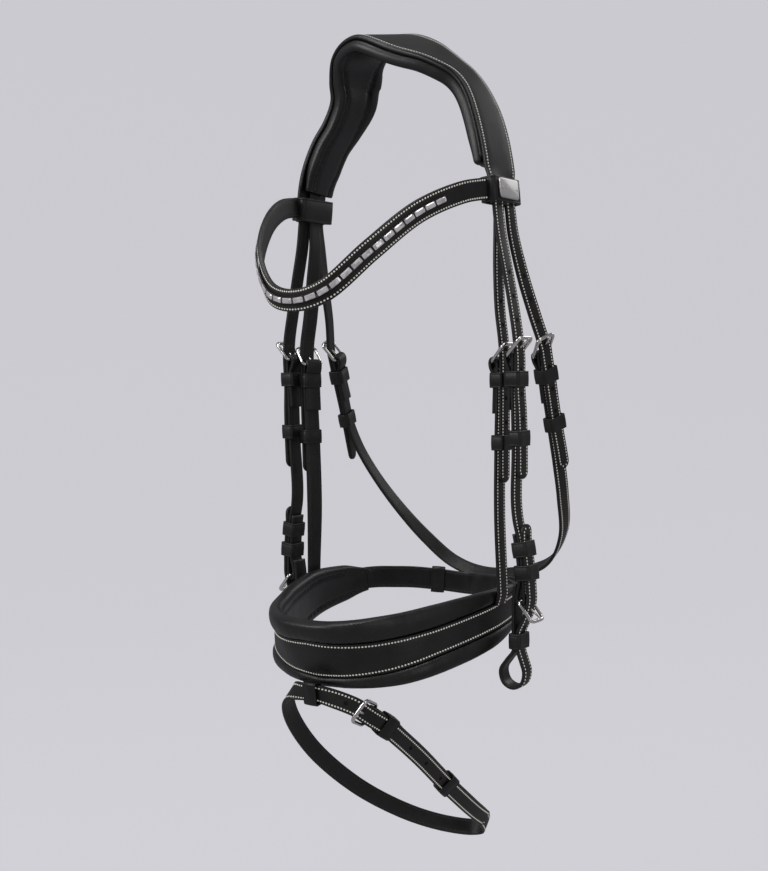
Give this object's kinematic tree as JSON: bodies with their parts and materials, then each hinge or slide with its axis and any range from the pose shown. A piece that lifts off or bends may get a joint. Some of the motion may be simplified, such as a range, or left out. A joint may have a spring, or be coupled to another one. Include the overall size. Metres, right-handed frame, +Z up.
{
  "type": "snaffle bridle",
  "caption": "Black leather snaffle bridle with padded anatomic headpiece, wave browband with crystals, padded noseband, flash strap and throatlash.",
  "frame": {"origin": "underside of the headpiece padding at the poll, where the bridle rests on the horse", "axes": "+Z up, -Y towards the horse's nose, +X towards the horse's left"},
  "size_m": [0.241, 0.2486, 0.6422],
  "materials": {
    "strap_leather": "black bridle leather, satin, stitched edges",
    "soft_leather": "soft black padding leather, fine grain",
    "lining_leather": "smooth black lining leather",
    "nickel_wire": "polished nickel-plated wire",
    "satin_plate": "satin metal plate",
    "clear_crystal": "clear rectangular stones in a metal channel"
  },
  "bodies": {
    "headpiece": {"headpiece_leather": "strap_leather", "headpiece_padding": "soft_leather", "noseband_headstrap": "lining_leather"},
    "browband": {"browband_leather": "strap_leather", "browband_crystals": "clear_crystal", "browband_plate_left": "satin_plate", "browband_plate_right": "satin_plate"},
    "cheek_left": {"cheek_billet_left": "strap_leather", "cheekpiece_left": "strap_leather", "cheek_buckle_left": "nickel_wire", "cheek_keeper_fixed_left": "strap_leather", "bit_buckle_left": "nickel_wire", "bit_keeper_upper_left": "strap_leather", "bit_keeper_lower_left": "strap_leather"},
    "cheek_tongue_left": {"cheek_buckle_tongue_left": "nickel_wire"},
    "bit_tongue_left": {"bit_buckle_tongue_left": "nickel_wire"},
    "cheek_keeper_left": {"cheek_keeper_running_left": "strap_leather"},
    "bit_keeper_left": {"bit_keeper_middle_left": "strap_leather"},
    "cheek_right": {"cheek_billet_right": "strap_leather", "cheekpiece_right": "strap_leather", "cheek_buckle_right": "nickel_wire", "cheek_keeper_fixed_right": "strap_leather", "bit_buckle_right": "nickel_wire", "bit_keeper_upper_right": "strap_leather", "bit_keeper_lower_right": "strap_leather"},
    "cheek_tongue_right": {"cheek_buckle_tongue_right": "nickel_wire"},
    "bit_tongue_right": {"bit_buckle_tongue_right": "nickel_wire"},
    "cheek_keeper_right": {"cheek_keeper_running_right": "strap_leather"},
    "bit_keeper_right": {"bit_keeper_middle_right": "strap_leather"},
    "noseband": {"hanger_billet_left": "strap_leather", "hanger_billet_right": "strap_leather", "hanger_strap_left": "strap_leather", "hanger_strap_right": "strap_leather", "hanger_buckle_left": "nickel_wire", "hanger_buckle_right": "nickel_wire", "noseband_leather": "strap_leather", "noseband_padding": "soft_leather", "chin_strap": "strap_leather", "chin_buckle": "nickel_wire", "flash_loop": "strap_leather"},
    "hanger_tongue_left": {"hanger_buckle_tongue_left": "nickel_wire"},
    "hanger_keeper_left": {"hanger_keeper_running_left": "strap_leather"},
    "hanger_tongue_right": {"hanger_buckle_tongue_right": "nickel_wire"},
    "hanger_keeper_right": {"hanger_keeper_running_right": "strap_leather"},
    "chin_tongue": {"chin_buckle_tongue": "nickel_wire"},
    "chin_keeper": {"chin_keeper": "strap_leather"},
    "throatlash": {"throat_billet_left": "strap_leather", "throat_billet_right": "strap_leather", "throat_buckle_left": "nickel_wire", "throat_buckle_right": "nickel_wire", "throatlash": "strap_leather"},
    "throat_tongue_left": {"throat_buckle_tongue_left": "nickel_wire"},
    "throat_keeper_left": {"throat_keeper_running_left": "strap_leather"},
    "throat_tongue_right": {"throat_buckle_tongue_right": "nickel_wire"},
    "throat_keeper_right": {"throat_keeper_running_right": "strap_leather"},
    "flash": {"flash_strap": "strap_leather", "flash_buckle": "nickel_wire"},
    "flash_tongue": {"flash_buckle_tongue": "nickel_wire"},
    "flash_keeper": {"flash_keeper_running": "strap_leather"}
  },
  "joints": [
    {"name": "browband_slide", "type": "slide", "parent": "headpiece", "child": "browband", "axis": [0, 0, 1], "range_m": [0, 0.003]},
    {"name": "cheek_swing_left", "type": "hinge", "parent": "headpiece", "child": "cheek_left", "pos_m": [0.089, 0, -0.116], "axis": [0, -1, 0], "range_deg": [0, 25]},
    {"name": "cheek_tongue_lift_left", "type": "hinge", "parent": "cheek_left", "child": "cheek_tongue_left", "pos_m": [0.1012, 0, -0.224], "axis": [0, 1, 0], "range_deg": [0, 6]},
    {"name": "bit_tongue_lift_left", "type": "hinge", "parent": "cheek_left", "child": "bit_tongue_left", "pos_m": [0.11, 0, -0.398], "axis": [0, -1, 0], "range_deg": [0, 6]},
    {"name": "cheek_keeper_slide_left", "type": "slide", "parent": "cheek_left", "child": "cheek_keeper_left", "axis": [0, 0, -1], "range_m": [-0.008, 0.006]},
    {"name": "bit_keeper_slide_left", "type": "slide", "parent": "cheek_left", "child": "bit_keeper_left", "axis": [0.1093, 0, -0.994], "range_m": [-0.003, 0.0005]},
    {"name": "cheek_swing_right", "type": "hinge", "parent": "headpiece", "child": "cheek_right", "pos_m": [-0.09346, 0, -0.116], "axis": [0, 1, 0], "range_deg": [0, 25]},
    {"name": "cheek_tongue_lift_right", "type": "hinge", "parent": "cheek_right", "child": "cheek_tongue_right", "pos_m": [-0.10103, 0, -0.224], "axis": [0, -1, 0], "range_deg": [0, 6]},
    {"name": "bit_tongue_lift_right", "type": "hinge", "parent": "cheek_right", "child": "bit_tongue_right", "pos_m": [-0.10237, 0, -0.398], "axis": [0, 1, 0], "range_deg": [0, 6]},
    {"name": "cheek_keeper_slide_right", "type": "slide", "parent": "cheek_right", "child": "cheek_keeper_right", "axis": [0.0428, 0, -0.9991], "range_m": [-0.008, 0.006]},
    {"name": "bit_keeper_slide_right", "type": "slide", "parent": "cheek_right", "child": "bit_keeper_right", "axis": [-0.067, 0, -0.9978], "range_m": [-0.003, 0.0005]},
    {"name": "noseband_swing", "type": "hinge", "parent": "headpiece", "child": "noseband", "pos_m": [0, 0.004, -0.116], "axis": [-1, 0, 0], "range_deg": [0, 12]},
    {"name": "hanger_tongue_lift_left", "type": "hinge", "parent": "noseband", "child": "hanger_tongue_left", "pos_m": [0.0848, 0.0065, -0.228], "axis": [0, 1, 0], "range_deg": [0, 4]},
    {"name": "hanger_keeper_slide_left", "type": "slide", "parent": "noseband", "child": "hanger_keeper_left", "axis": [0, 0, -1], "range_m": [-0.01, 0.01]},
    {"name": "hanger_tongue_lift_right", "type": "hinge", "parent": "noseband", "child": "hanger_tongue_right", "pos_m": [-0.08747, 0.0065, -0.228], "axis": [0, -1, 0], "range_deg": [0, 4]},
    {"name": "hanger_keeper_slide_right", "type": "slide", "parent": "noseband", "child": "hanger_keeper_right", "axis": [0, 0, -1], "range_m": [-0.01, 0.01]},
    {"name": "chin_tongue_lift", "type": "hinge", "parent": "noseband", "child": "chin_tongue", "pos_m": [0.06441, 0.07011, -0.4068], "axis": [0.0145, -0.0139, -0.9998], "range_deg": [0, 6]},
    {"name": "chin_keeper_slide", "type": "slide", "parent": "noseband", "child": "chin_keeper", "axis": [0.8697, 0.4899, -0.06], "range_m": [-0.003, 0]},
    {"name": "throatlash_swing", "type": "hinge", "parent": "headpiece", "child": "throatlash", "pos_m": [0, 0.027, -0.116], "axis": [1, 0, 0], "range_deg": [0, 20]},
    {"name": "throat_tongue_lift_left", "type": "hinge", "parent": "throatlash", "child": "throat_tongue_left", "pos_m": [0.0954, 0.051, -0.223], "axis": [0.2201, 0.9305, 0.2927], "range_deg": [0, 5]},
    {"name": "throat_keeper_slide_left", "type": "slide", "parent": "throatlash", "child": "throat_keeper_left", "axis": [0.01, 0.3011, -0.9535], "range_m": [-0.008, 0.001]},
    {"name": "throat_tongue_lift_right", "type": "hinge", "parent": "throatlash", "child": "throat_tongue_right", "pos_m": [-0.0954, 0.051, -0.223], "axis": [0.2201, -0.9305, -0.2927], "range_deg": [0, 5]},
    {"name": "throat_keeper_slide_right", "type": "slide", "parent": "throatlash", "child": "throat_keeper_right", "axis": [-0.01, 0.3011, -0.9535], "range_m": [-0.008, 0.001]},
    {"name": "flash_swing", "type": "hinge", "parent": "noseband", "child": "flash", "pos_m": [0.002, -0.107, -0.4572], "axis": [1, 0, 0], "range_deg": [-6, 8]},
    {"name": "flash_tongue_lift", "type": "hinge", "parent": "flash", "child": "flash_tongue", "pos_m": [0.033, -0.082, -0.474], "axis": [0.4168, 0.4415, 0.7945], "range_deg": [0, 5]},
    {"name": "flash_keeper_slide", "type": "slide", "parent": "flash", "child": "flash_keeper", "axis": [-0.025, 0.7761, -0.6301], "range_m": [-0.008, 0.008]}
  ]
}
